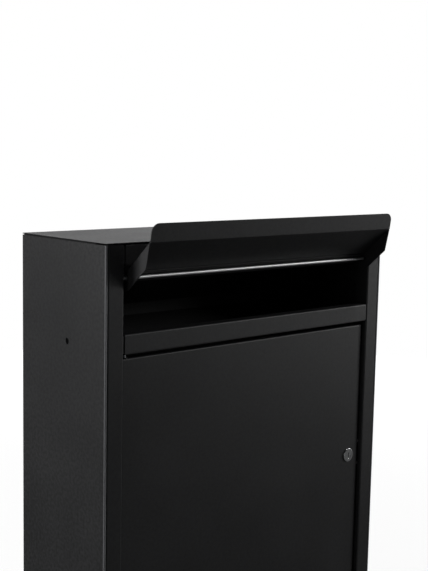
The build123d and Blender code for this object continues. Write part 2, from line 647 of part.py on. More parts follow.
with BuildPart() as strike_screws:
    for screw_z in STRIKE_SCREWS_Z:
        start = (OPENING_HALF, STRIKE_SCREW_Y, screw_z)
        rod(start, (-1, 0, 0), SCREW_HEAD_RADIUS, SCREW_HEAD)
        rod(start, (1, 0, 0), SCREW_RADIUS, SCREW_LENGTH)
finish(strike_screws, "strike_screws")

STOPS_Z = (DOOR_BOTTOM + STOP_END_INSET, DOOR_TOP - STOP_END_INSET)
STOP_FRONT = DOOR_REAR + REST_GAP + DOOR_BUFFER

with BuildPart() as door_stops:
    for middle in STOPS_Z:
        with BuildSketch(Plane.XY.offset(middle - STOP_HEIGHT / 2)):
            folded(
                [
                    (JAMB_HIDDEN + STOP_SHEET, FRONT + JAMB_FOLD / 4),
                    (JAMB_HIDDEN + STOP_SHEET, STOP_FRONT + STOP_SHEET),
                    (OPENING_HALF - STOP_REACH, STOP_FRONT + STOP_SHEET),
                ],
                STOP_SHEET,
                RAIL_BEND,
                Side.LEFT,
            )
        extrude(amount=STOP_HEIGHT)
finish(door_stops, "door_stops")

with BuildPart() as door_buffers:
    for middle in STOPS_Z:
        buffer_x = OPENING_HALF - STOP_REACH + DOOR_BUFFER_RADIUS
        rod((buffer_x, STOP_FRONT, middle), (0, -1, 0), DOOR_BUFFER_RADIUS, DOOR_BUFFER)
    fillet(door_buffers.edges().group_by(Axis.Y)[0], 1.0)
finish(door_buffers, "door_buffers")

# ---------------------------------------------------------------- chute and floor mat
with BuildPart() as chute_plate:
    chute_half = INNER_HALF - CHUTE_SIDE_GAP
    with BuildSketch(Plane.YZ.offset(-chute_half)):
        folded(
            [
                (BACK_INSIDE, CHUTE_REAR_Z + CHUTE_UPSTAND),
                (BACK_INSIDE, CHUTE_REAR_Z),
                (CHUTE_FRONT, CHUTE_FRONT_Z),
                (CHUTE_FRONT, CHUTE_FRONT_Z - CHUTE_HEM),
            ],
            SHEET,
            RAIL_BEND,
            Side.RIGHT,
        )
    extrude(amount=2 * chute_half)
finish(chute_plate, "chute_plate")

with BuildPart() as chute_angles:
    slope = radians(CHUTE_SLOPE)
    uphill = Vector(0, cos(slope), sin(slope))
    middle = Vector(0, (BACK_INSIDE + CHUTE_FRONT) / 2, (CHUTE_REAR_Z + CHUTE_FRONT_Z) / 2)
    lower_end = middle - uphill * (CHUTE_ANGLE_LENGTH / 2)
    # Sketch x runs across the cabinet and sketch y away from the plate, below it.
    with BuildSketch(Plane(origin=lower_end, x_dir=(1, 0, 0), z_dir=uphill)):
        for side in (-1, 1):
            wall = side * INNER_HALF
            with Locations((wall - side * CHUTE_ANGLE_LEG / 2, SHEET / 2)):
                Rectangle(CHUTE_ANGLE_LEG, SHEET)
            with Locations((wall - side * SHEET / 2, CHUTE_ANGLE_LEG / 2)):
                Rectangle(SHEET, CHUTE_ANGLE_LEG)
    extrude(amount=CHUTE_ANGLE_LENGTH)
finish(chute_angles, "chute_angles")

with BuildPart() as floor_mat:
    mat_half = INNER_HALF - SHEET - MAT_MARGIN
    mat_y = (FRONT + MAT_FRONT, BACK_INSIDE - SHEET - MAT_MARGIN)
    block((-mat_half, mat_half), mat_y, (SHEET, SHEET + MAT_THICKNESS))
    with Locations((0, 0, SHEET + MAT_THICKNESS)):
        with GridLocations(ANCHOR_SPACING_X, ANCHOR_SPACING_Y, 2, 2):
            Hole(MAT_HOLE_RADIUS)
finish(floor_mat, "floor_mat")
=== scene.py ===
"""Looks of the parcel drop box: powder-coated sheet metal, a ground steel rod, a cam lock,
and the studio they stand in. Sizes are in metres, in the cabinet's own frame.
"""

import logging
import math
from dataclasses import dataclass, field
from enum import Enum

import bmesh
import bpy
from mathutils import Matrix, Vector


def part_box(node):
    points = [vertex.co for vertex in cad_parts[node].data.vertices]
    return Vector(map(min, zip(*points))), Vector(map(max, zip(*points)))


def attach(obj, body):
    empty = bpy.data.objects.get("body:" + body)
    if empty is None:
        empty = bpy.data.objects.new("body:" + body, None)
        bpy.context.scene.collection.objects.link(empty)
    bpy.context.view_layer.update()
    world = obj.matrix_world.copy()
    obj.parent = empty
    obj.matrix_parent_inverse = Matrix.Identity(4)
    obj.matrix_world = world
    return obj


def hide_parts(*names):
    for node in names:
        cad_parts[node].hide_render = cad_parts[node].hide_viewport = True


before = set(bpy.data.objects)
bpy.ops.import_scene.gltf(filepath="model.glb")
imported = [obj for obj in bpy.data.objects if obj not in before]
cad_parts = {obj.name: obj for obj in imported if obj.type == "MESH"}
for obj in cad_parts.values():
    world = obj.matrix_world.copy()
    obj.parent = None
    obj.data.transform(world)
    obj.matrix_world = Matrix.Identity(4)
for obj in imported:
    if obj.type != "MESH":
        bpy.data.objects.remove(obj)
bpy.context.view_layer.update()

ROOF_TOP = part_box("top_panel")[1][2]
WALL_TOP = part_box("side_panel_left")[1][2]
MILLIMETRE = 0.001
ROOF_SEAM = (WALL_TOP, ROOF_TOP - 0.3 * MILLIMETRE)
BLACK = (0.0, 0.0, 0.0)
WHITE = (1.0, 1.0, 1.0)
SHADE_BLACK = (0.004, 0.004, 0.0045)
FOLD_GAIN = 10.0  # a surface turned 26 degrees from square counts as the middle of a fold
SHARP_EDGE = 35.0  # degrees between two faces of a turned piece

logger = logging.getLogger("parcel_box")

Colour = tuple[float, float, float]
Point = tuple[float, float, float]


# ------------------------------------------------------------------ shader maths
class Shade:
    """A number that changes over a surface, so that shader maths reads as arithmetic."""

    def __init__(self, tree: bpy.types.NodeTree, socket: bpy.types.NodeSocket) -> None:
        """Wrap an output socket.

        Args:
            tree: The node tree that the socket belongs to.
            socket: The output that carries the number.
        """
        self.tree = tree
        self.socket = socket

    def _math(self, operation: str, *values: "Shade | float", clamp: bool = False) -> "Shade":
        """Add one Math node.

        Args:
            operation: The Math node's operation.
            values: Its inputs in order, as wrapped sockets or plain numbers.
            clamp: Whether the result is kept between 0 and 1.

        Returns:
            The node's result.
        """
        node = self.tree.nodes.new("ShaderNodeMath")
        node.operation = operation
        node.use_clamp = clamp
        for slot, value in zip(node.inputs, values):
            if isinstance(value, Shade):
                self.tree.links.new(value.socket, slot)
            else:
                slot.default_value = value
        return Shade(self.tree, node.outputs[0])

    def __add__(self, other: "Shade | float") -> "Shade":
        """Return the sum."""
        return self._math("ADD", self, other)

    __radd__ = __add__

    def __sub__(self, other: "Shade | float") -> "Shade":
        """Return the difference."""
        return self._math("SUBTRACT", self, other)

    def __rsub__(self, other: float) -> "Shade":
        """Return the difference, taken from a plain number."""
        return self._math("SUBTRACT", other, self)

    def __mul__(self, other: "Shade | float") -> "Shade":
        """Return the product."""
        return self._math("MULTIPLY", self, other)

    __rmul__ = __mul__

    def __truediv__(self, other: "Shade | float") -> "Shade":
        """Return the quotient."""
        return self._math("DIVIDE", self, other)

    def __rtruediv__(self, other: float) -> "Shade":
        """Return the quotient of a plain number by this."""
        return self._math("DIVIDE", other, self)

    def __pow__(self, other: float) -> "Shade":
        """Return the power."""
        return self._math("POWER", self, other)

    def __rpow__(self, other: float) -> "Shade":
        """Return a plain number raised to this power."""
        return self._math("POWER", other, self)

    def __gt__(self, other: "Shade | float") -> "Shade":
        """Return 1 where this is the greater, else 0."""
        return self._math("GREATER_THAN", self, other)

    def __lt__(self, other: "Shade | float") -> "Shade":
        """Return 1 where this is the smaller, else 0."""
        return self._math("LESS_THAN", self, other)

    def __abs__(self) -> "Shade":
        """Return the same number without its sign."""
        return self._math("ABSOLUTE", self)

    def at_least(self, other: "Shade | float") -> "Shade":
        """Return the greater of the two."""
        return self._math("MAXIMUM", self, other)

    def clamped(self) -> "Shade":
        """Return the same number kept between 0 and 1."""
        return self._math("MULTIPLY", self, 1.0, clamp=True)


class NodeWork:
    """A node tree under construction, and the one maker of its nodes."""

    def __init__(self, tree: bpy.types.NodeTree) -> None:
        """Take up a node tree."""
        self.tree = tree

    def node(self, kind: str, settings: dict | None = None, **values: object) -> bpy.types.Node:
        """Add a node.

        Args:
            kind: The node's type.
            settings: Its properties, set before its sockets.
            values: What each named socket holds: a link, a wrapped number or a constant.
                An underscore in a name stands for a space.

        Returns:
            The node.
        """
        node = self.tree.nodes.new(kind)
        for key, value in (settings or {}).items():
            if key == "stops":
                self._set_stops(node, value)
            else:
                setattr(node, key, value)
        for key, value in values.items():
            self.feed(node, key.replace("_", " "), value)
        return node

    def _set_stops(self, node: bpy.types.Node, stops: list[tuple[float, Colour]]) -> None:
        """Set a colour ramp's stops.

        Args:
            node: The ramp.
            stops: Each stop's place and colour.
        """
        ramp = node.color_ramp
        while len(ramp.elements) < len(stops):
            ramp.elements.new(0.5)
        for element, (place, colour) in zip(ramp.elements, stops):
            element.position = place
            element.color = (*colour, 1.0)

    def feed(self, node: bpy.types.Node, name: str, value: object) -> None:
        """Give one of a node's sockets its value or link.

        Args:
            node: The node.
            name: The socket's name.
            value: A link, a wrapped number or a constant.
        """
        slot = node.inputs[name]
        if isinstance(value, Shade):
            self.tree.links.new(value.socket, slot)
        elif isinstance(value, bpy.types.NodeSocket):
            self.tree.links.new(value, slot)
        elif isinstance(value, tuple) and slot.type == "RGBA":
            slot.default_value = (*value, 1.0)
        else:
            slot.default_value = value

    def between(self, mask: Shade, low: Colour, high: Colour) -> bpy.types.NodeSocket:
        """Blend two colours.

        Args:
            mask: How much of the second colour shows, from 0 to 1.
            low: The colour where the mask is 0.
            high: The colour where it is 1.

        Returns:
            The blended colour.
        """
        ramp = self.node("ShaderNodeValToRGB", {"stops": [(0.0, low), (1.0, high)]}, Fac=mask)
        return ramp.outputs[0]

    def blended(
        self, mask: Shade, low: bpy.types.NodeSocket, high: Colour
    ) -> bpy.types.NodeSocket:
        """Lay a colour over another.

        Args:
            mask: How much of the laid colour shows, from 0 to 1.
            low: The colour underneath.
            high: The colour laid over it.

        Returns:
            The blended colour.
        """
        mix = self.node("ShaderNodeMix", {"data_type": "RGBA"})
        factor, under, over = (mix.inputs[i] for i in (0, 6, 7))
        self.tree.links.new(mask.clamped().socket, factor)
        self.tree.links.new(low, under)
        over.default_value = (*high, 1.0)
        return mix.outputs[2]

    def axes(self, vector: bpy.types.NodeSocket) -> tuple[Shade, Shade, Shade]:
        """Take a vector apart.

        Args:
            vector: The vector.

        Returns:
            Its three parts.
        """
        parts = self.node("ShaderNodeSeparateXYZ", Vector=vector)
        x, y, z = (Shade(self.tree, socket) for socket in parts.outputs)
        return x, y, z


class Paintwork(NodeWork):
    """One material under construction, with its shader and the place on the object."""

    def __init__(self, name: str) -> None:
        """Start a material.

        Args:
            name: The material's name.
        """
        self.material = bpy.data.materials.new(name)
        self.material.use_nodes = True
        super().__init__(self.material.node_tree)
        self.shader = next(n for n in self.tree.nodes if n.type == "BSDF_PRINCIPLED")
        self.place = self.node("ShaderNodeTexCoord").outputs["Object"]

    def set(self, **values: object) -> None:
        """Give the shader's sockets their values or links, by name."""
        for key, value in values.items():
            self.feed(self.shader, key.replace("_", " "), value)

    def stretched(self, stretch: Point) -> bpy.types.NodeSocket:
        """Return the place on the object, scaled along each axis."""
        return self.node("ShaderNodeMapping", Vector=self.place, Scale=stretch).outputs[0]

    def grain(self, size: float, detail: float = 2.0, stretch: Point = (1.0, 1.0, 1.0)) -> Shade:
        """Add cloudy noise.

        Args:
            size: The size of one cloud, in metres.
            detail: How many finer layers it has.
            stretch: How much tighter it is along each axis.

        Returns:
            The noise, about 0.5 on average.
        """
        noise = self.node(
            "ShaderNodeTexNoise", Vector=self.stretched(stretch), Scale=1.0 / size, Detail=detail
        )
        return Shade(self.tree, noise.outputs[0])

    def specks(self, size: float, share: float) -> Shade:
        """Add scattered round specks.

        Args:
            size: The spacing of the specks, in metres.
            share: The radius of a speck as a share of the spacing.

        Returns:
            1 in the middle of a speck and 0 between them.
        """
        cells = self.node("ShaderNodeTexVoronoi", Vector=self.place, Scale=1.0 / size)
        return (1.0 - Shade(self.tree, cells.outputs["Distance"]) / share).clamped()

    def facing(self) -> tuple[Shade, Shade, Shade]:
        """Return the way the surface faces, in the object's own frame."""
        return self.axes(self.node("ShaderNodeTexCoord").outputs["Normal"])

    def on_folds(self) -> Shade:
        """Find the rounded folds.

        Returns:
            1 on the middle of a fold and 0 on a flat face.
        """
        x, y, z = self.facing()
        squareness = abs(x).at_least(abs(y)).at_least(abs(z))
        return ((1.0 - squareness) * FOLD_GAIN).clamped()

    def bump(self, height: Shade, depth: float) -> None:
        """Raise the surface by a height of 0 to 1, where 1 is the depth in metres."""
        bump = self.node("ShaderNodeBump", Height=height, Distance=depth, Strength=1.0)
        self.set(Normal=bump.outputs[0])


# ------------------------------------------------------------------ finishes
@dataclass(frozen=True)
class PowderCoat:
    """Fine-textured black powder coat, baked on sheet steel.

    Attributes:
        name: The material's name.
        dark: The colour between the grains.
        light: The colour on the grains.
        worn_and_highlit_colour: The folds' paler colour, partly worn edges, partly painted
            highlight.
        roughness: How matt it is.
        wear: How far folds are painted paler, as worn edges and painted highlight.
        dust: How much dust lies on level faces.
        mottle: How blotchy the coat looks from a few steps away.
        polished: The direction of narrow faces painted pale as worn edges and painted highlight.
        shaded: The direction that an inner face, painted as dark as deep shade, looks in.
        seam: The lowest and highest point of a seam, painted as dark as deep shade.
        grain_size: The size of one grain.
        grain_depth: How far the texture stands up.
        ripple_size: The size of the slower waves in the coat.
        speck_spacing: The spacing of the specks.
        speck_share: The radius of a speck as a share of the spacing.
        blotch_size: The size of one blotch of the mottle.
        cloud_size: The size of the slow changes from one part of a sheet to another.
        middle_tone: The coat's average place between its dark and its light colour.
        tone_weights: How much grain, cloud, specks and blotches change the colour.
        gloss_weights: How much grain, cloud and blotches change the roughness.
        height_weights: How much grain, ripple and specks raise the surface.
        dust_matt: How much rougher dust makes the coat.
        rub_gloss: How much smoother a worn and highlit fold is.
        shade_matt: How much rougher the shaded places are.
    """

    name: str
    dark: Colour
    light: Colour
    worn_and_highlit_colour: Colour = (0.26, 0.265, 0.275)
    roughness: float = 0.47
    wear: float = 0.1
    dust: float = 0.0
    mottle: float = 0.5
    polished: Point | None = None
    shaded: Point | None = None
    seam: tuple[float, float] | None = None
    grain_size: float = 1.1 * MILLIMETRE
    grain_depth: float = 0.05 * MILLIMETRE
    ripple_size: float = 5.5 * MILLIMETRE
    speck_spacing: float = 1.87 * MILLIMETRE
    speck_share: float = 0.33
    blotch_size: float = 5.0 * MILLIMETRE
    cloud_size: float = 120.0 * MILLIMETRE
    middle_tone: float = 0.45
    tone_weights: tuple[float, float, float, float] = (1.5, 0.7, 0.35, 1.6)
    gloss_weights: tuple[float, float, float] = (0.22, 0.16, -0.25)
    height_weights: tuple[float, float, float] = (0.75, 0.6, 0.2)
    dust_matt: float = 0.3
    rub_gloss: float = 0.12
    shade_matt: float = 0.4

    def make(self) -> bpy.types.Material:
        """Build the coat: texture, dust, paler folds as worn edges and painted highlight, painted
        shade.

        Returns:
            The material.
        """
        paint = Paintwork(self.name)
        grain = paint.grain(self.grain_size, detail=3.0)
        ripple = paint.grain(self.ripple_size, detail=1.0)
        cloud = paint.grain(self.cloud_size, detail=3.0)
        specks = paint.specks(self.speck_spacing, self.speck_share)
        blotch = (paint.grain(self.blotch_size, detail=2.0) - 0.5) * self.mottle
        faces = paint.facing()
        dust = faces[2].clamped() * cloud * self.dust
        by_grain, by_cloud, by_speck, by_blotch = self.tone_weights
        tone = (grain - 0.5) * by_grain + (cloud - 0.5) * by_cloud + specks * by_speck
        tone = (tone + blotch * by_blotch + self.middle_tone).clamped()
        by_grain, by_cloud, by_blotch = self.gloss_weights
        gloss = (grain - 0.5) * by_grain + (cloud - 0.5) * by_cloud + blotch * by_blotch
        gloss = gloss + self.roughness + dust * self.dust_matt
        colour = paint.between((tone + dust).clamped(), self.dark, self.light)
        # Paler, smoother folds and narrow faces: partly worn edges, partly a painted highlight.
        worn_and_highlit_places = paint.on_folds()
        if self.polished is not None:
            worn_and_highlit_places = worn_and_highlit_places.at_least(self.looking(faces, self.polished))
        wear_and_highlight_mask = worn_and_highlit_places * (cloud * 0.5 + 0.75) * self.wear
        colour = paint.blended(wear_and_highlight_mask, colour, self.worn_and_highlit_colour)
        gloss = gloss - wear_and_highlight_mask * self.rub_gloss
        shade = self.shaded_places(paint, faces)
        if shade is not None:
            colour = paint.blended(shade, colour, SHADE_BLACK)
            gloss = gloss + shade * self.shade_matt
        paint.set(Base_Color=colour, Roughness=gloss.clamped(), Specular_IOR_Level=0.5)
        by_grain, by_ripple, by_speck = self.height_weights
        paint.bump(grain * by_grain + ripple * by_ripple + specks * by_speck, self.grain_depth)
        return paint.material

    @staticmethod
    def looking(faces: tuple[Shade, Shade, Shade], direction: Point) -> Shade:
        """Return how far the surface looks in a direction, from 0 to 1."""
        x, y, z = (face * part for face, part in zip(faces, direction))
        return (x + y + z).clamped()

    def shaded_places(
        self, paint: Paintwork, faces: tuple[Shade, Shade, Shade]
    ) -> Shade | None:
        """Find the places painted as dark as deep shade: inner faces and seams.

        Args:
            paint: The material under construction.
            faces: The way the surface faces.

        Returns:
            1 in those places and 0 elsewhere, or None if the sheet has neither.
        """
        if self.seam is not None:
            height = paint.axes(paint.place)[2]
            return (height > self.seam[0]) * (height < self.seam[1])
        if self.shaded is not None:
            return self.looking(faces, self.shaded)
        return None


@dataclass(frozen=True)
class GroundSteel:
    """Bright round bar with the fine rings of centreless grinding.

    Attributes:
        name: The material's name.
        colour: The colour of the clean steel.
        smudge: The colour where it has been handled.
        roughness: How matt it is.
        ring_size: The spacing of the grinding rings.
        smear_size: The size of one smudge.
        ring_depth: How deep the rings are.
    """

    name: str = "ground_steel_rod"
    colour: Colour = (0.80, 0.81, 0.82)
    smudge: Colour = (0.62, 0.62, 0.62)
    roughness: float = 0.5
    ring_size: float = 0.6 * MILLIMETRE
    smear_size: float = 18.0 * MILLIMETRE
    ring_depth: float = 0.004 * MILLIMETRE

    def make(self) -> bpy.types.Material:
        """Build the ground steel.

        Returns:
            The material.
        """
        steel = Paintwork(self.name)
        rings = steel.grain(self.ring_size, detail=2.0, stretch=(1.0, 0.05, 0.05))
        smears = steel.grain(self.smear_size, detail=2.0)
        steel.set(
            Base_Color=steel.between(smears, self.smudge, self.colour),
            Metallic=1.0,
            Roughness=((rings - 0.5) * 0.2 + (smears - 0.5) * 0.12 + self.roughness).clamped(),
        )
        steel.bump(rings, self.ring_depth)
        return steel.material


@dataclass(frozen=True)
class ZincPlate:
    """Zinc plating: pale, slightly blotched and a little blue.

    Attributes:
        name: The material's name.
        light: The colour of the bright patches.
        dark: The colour of the dull patches.
        roughness: How matt it is.
        spangle_size: The size of one crystal.
        blotch_size: The size of one blotch.
        pit_size: The size of the finest texture.
        pit_depth: How deep the finest texture is.
    """

    name: str
    light: Colour = (0.62, 0.64, 0.66)
    dark: Colour = (0.40, 0.42, 0.45)
    roughness: float = 0.34
    spangle_size: float = 5.0 * MILLIMETRE
    blotch_size: float = 9.0 * MILLIMETRE
    pit_size: float = 0.5 * MILLIMETRE
    pit_depth: float = 0.012 * MILLIMETRE

    def make(self) -> bpy.types.Material:
        """Build the zinc plating.

        Returns:
            The material.
        """
        zinc = Paintwork(self.name)
        spangle = zinc.node(
            "ShaderNodeTexVoronoi", Vector=zinc.place, Scale=1.0 / self.spangle_size
        )
        patch = Shade(zinc.tree, spangle.outputs["Distance"])
        blotch = zinc.grain(self.blotch_size, detail=3.0)
        fine = zinc.grain(self.pit_size, detail=2.0)
        zinc.set(
            Base_Color=zinc.between((patch * 0.4 + blotch * 0.7).clamped(), self.dark, self.light),
            Metallic=1.0,
            Roughness=((patch - 0.4) * 0.18 + (blotch - 0.5) * 0.2 + self.roughness).clamped(),
        )
        zinc.bump(fine, self.pit_depth)
        return zinc.material


@dataclass(frozen=True)
class LockChrome:
    """Polished chrome plate with faint wiping marks.

    Attributes:
        name: The material's name.
        bright: The colour of the clean plate.
        dull: The colour where it is smeared.
        roughness: How matt it is.
        wipe_size: The spacing of the wiping marks.
        smear_size: The size of one smear.
        wipe_depth: How deep the wiping marks are.
    """

    name: str = "lock_chrome"
    bright: Colour = (0.86, 0.87, 0.88)
    dull: Colour = (0.66, 0.67, 0.68)
    roughness: float = 0.16
    wipe_size: float = 1.4 * MILLIMETRE
    smear_size: float = 7.0 * MILLIMETRE
    wipe_depth: float = 0.003 * MILLIMETRE

    def make(self) -> bpy.types.Material:
        """Build the chrome plate.

        Returns:
            The material.
        """
        chrome = Paintwork(self.name)
        wipes = chrome.grain(self.wipe_size, detail=2.0, stretch=(1.0, 1.0, 0.2))
        smears = chrome.grain(self.smear_size, detail=2.0)
        chrome.set(
            Base_Color=chrome.between(smears, self.dull, self.bright),
            Metallic=1.0,
            Roughness=((wipes - 0.5) * 0.12 + (smears - 0.5) * 0.1 + self.roughness).clamped(),
        )
        chrome.bump(wipes, self.wipe_depth)
        return chrome.material


class SoftKind(Enum):
    """What a soft black piece is made of."""

    RUBBER = "rubber"
    NYLON = "nylon"
    FOAM = "foam"


@dataclass(frozen=True)
class SoftBlack:
    """Black rubber, nylon or closed-cell foam.

    Attributes:
        kind: Which of them it is.
        dark: The colour of the dark patches.
        light: The colour of the light patches.
        texture_size: The size of the finest texture.
        patch_size: The size of one patch.
        cell_size: The spacing of the cells of foam.
        texture_depth: How deep the finest texture of rubber and nylon is.
        cell_depth: How deep the cells of foam are.
    """

    kind: SoftKind
    dark: Colour = (0.008, 0.008, 0.008)
    light: Colour = (0.022, 0.022, 0.023)
    texture_size: float = 0.45 * MILLIMETRE
    patch_size: float = 22.0 * MILLIMETRE
    cell_size: float = 1.6 * MILLIMETRE
    texture_depth: float = 0.03 * MILLIMETRE
    cell_depth: float = 0.25 * MILLIMETRE

    def make(self) -> bpy.types.Material:
        """Build the rubber, nylon or foam.

        Returns:
            The material.
        """
        soft = Paintwork(f"black_{self.kind.value}")
        fine = soft.grain(self.texture_size, detail=2.0)
        patches = soft.grain(self.patch_size, detail=3.0)
        base_roughness = {SoftKind.RUBBER: 0.7, SoftKind.NYLON: 0.42, SoftKind.FOAM: 0.88}[self.kind]
        if self.kind is SoftKind.FOAM:
            cells = soft.specks(self.cell_size, 0.42)
            height, depth = fine * 0.4 - cells, self.cell_depth
        else:
            height, depth = fine, self.texture_depth
        soft.set(
            Base_Color=soft.between((fine * 0.5 + patches * 0.6).clamped(), self.dark, self.light),
            Roughness=((patches - 0.5) * 0.2 + base_roughness).clamped(),
        )
        soft.bump(height, depth)
        return soft.material


class Finish(Enum):
    """The finishes the box is made in, by their slot names."""

    CABINET = "cabinet_paint"
    # Side walls: folds and front edge painted paler, partly worn edges, partly a painted highlight.
    SIDE = "cabinet_paint, polished at the folds"
    ROOF = "cabinet_paint, shaded under the edge"
    BACK = "cabinet_paint, shaded inside"
    CHUTE = "cabinet_paint, shaded on the plate"
    FLAP = "flap_paint"
    ROD = "bright_steel"
    HARDWARE = "zinc_hardware"
    SHEET = "zinc_sheet"
    LOCK = "lock_chrome"
    RUBBER = "black_rubber"
    NYLON = "black_nylon"
    FOAM = "floor_foam"


class FinishShop:
    """Makes each finish once and hands out the same material after that."""

    def __init__(self) -> None:
        """Set out the finishes; none is made yet."""
        self.recipes = {
            Finish.CABINET: self.coat("cabinet_paint"),
            # Side walls: folds and front edge painted paler, partly worn edges, partly a painted
            # highlight.
            Finish.SIDE: self.coat(
                "cabinet_paint_side", wear=1.0, mottle=2.4, polished=(0.0, -1.0, 0.0)
            ),
            Finish.ROOF: self.coat("cabinet_paint_roof", seam=ROOF_SEAM),
            Finish.BACK: self.coat("cabinet_paint_back", shaded=(0.0, -1.0, 0.0)),
            Finish.CHUTE: self.coat("cabinet_paint_chute", shaded=(0.0, -0.4, 0.9)),
            Finish.FLAP: PowderCoat(
                "flap_paint", (0.010, 0.0102, 0.011), (0.030, 0.0305, 0.032), wear=0.0, dust=0.1
            ),
            Finish.ROD: GroundSteel(),
            Finish.HARDWARE: ZincPlate("zinc_hardware"),
            Finish.SHEET: ZincPlate("zinc_sheet", (0.56, 0.58, 0.60), (0.36, 0.38, 0.40), 0.40),
            Finish.LOCK: LockChrome(),
            Finish.RUBBER: SoftBlack(SoftKind.RUBBER),
            Finish.NYLON: SoftBlack(SoftKind.NYLON),
            Finish.FOAM: SoftBlack(SoftKind.FOAM, (0.014, 0.014, 0.015), (0.035, 0.035, 0.037)),
        }
        self.made: dict[Finish, bpy.types.Material] = {}

    @staticmethod
    def coat(name: str, **changes: object) -> PowderCoat:
        """Return the cabinet's powder coat with what is special about one kind of piece."""
        dark, light = (0.011, 0.0112, 0.012), (0.034, 0.0345, 0.036)
        return PowderCoat(name, dark, light, dust=0.12, **changes)

    def get(self, finish: Finish) -> bpy.types.Material:
        """Look up a finish's material, and make it when it is first asked for.

        Args:
            finish: The finish.

        Returns:
            Its material.
        """
        if finish not in self.made:
            self.made[finish] = self.recipes[finish].make()
        return self.made[finish]

    def dress(self, piece: bpy.types.Object, finish: Finish) -> None:
        """Put one finish on a whole piece.

        Args:
            piece: The piece.
            finish: Its finish.
        """
        piece.data.materials.clear()
        piece.data.materials.append(self.get(finish))
        logger.info("%s: %s", piece.name, finish.value)


# ------------------------------------------------------------------ sub-assemblies
@dataclass
class SubAssembly:
    """Pieces that are built and dressed together.

    Attributes:
        shop: Where the finishes come from.
        dressed: The finish of each CAD node that belongs here.
    """

    shop: FinishShop
    dressed: dict[str, Finish] = field(default_factory=dict)

    def dress_nodes(self) -> None:
        """Give each of the sub-assembly's CAD nodes its finish."""
        for node, finish in self.dressed.items():
            self.shop.dress(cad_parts[node], finish)

    def build(self) -> None:
        """Build and dress everything."""
        self.dress_nodes()


class Shell(SubAssembly):
    """The folded walls, roof and floor."""

    def build(self) -> None:
        """Dress the walls."""
        self.dressed.update(
            side_panel_left=Finish.SIDE,
            side_panel_right=Finish.SIDE,
            back_panel=Finish.BACK,
            top_panel=Finish.ROOF,
            bottom_panel=Finish.CABINET,
        )
        self.dress_nodes()


class FrontFrame(SubAssembly):
    """The posts and rails round the two openings."""

    def build(self) -> None:
        """Dress the posts, rails and clips."""
        self.dressed.update(
            jamb_left=Finish.CABINET,
            jamb_right=Finish.CABINET,
            header_rail=Finish.CABINET,
            crossbar=Finish.CABINET,
            sill_rail=Finish.CABINET,
            rail_clips=Finish.CABINET,
        )
        self.dress_nodes()


class DepositFlap(SubAssembly):
    """The lipped flap, its rod, seal, bushes, rings and rests."""

    def build(self) -> None:
        """Dress the flap and what it swings on."""
        self.dressed.update(
            flap_panel=Finish.FLAP,
            flap_seal=Finish.RUBBER,
            flap_bushings=Finish.NYLON,
            flap_rod=Finish.ROD,
            rod_rings=Finish.HARDWARE,
            flap_buffers=Finish.RUBBER,
        )
        self.dress_nodes()


class CollectionDoor(SubAssembly):
    """The recessed door, its pivots and its stops."""

    def build(self) -> None:
        """Dress the door and what it swings on and closes against."""
        self.dressed.update(
            door_panel=Finish.CABINET,
            door_stiffeners=Finish.CABINET,
            hinge_plates=Finish.SHEET,
            door_bushings=Finish.NYLON,
            door_pins=Finish.HARDWARE,
            door_stops=Finish.SHEET,
            door_buffers=Finish.RUBBER,
        )
        self.dress_nodes()


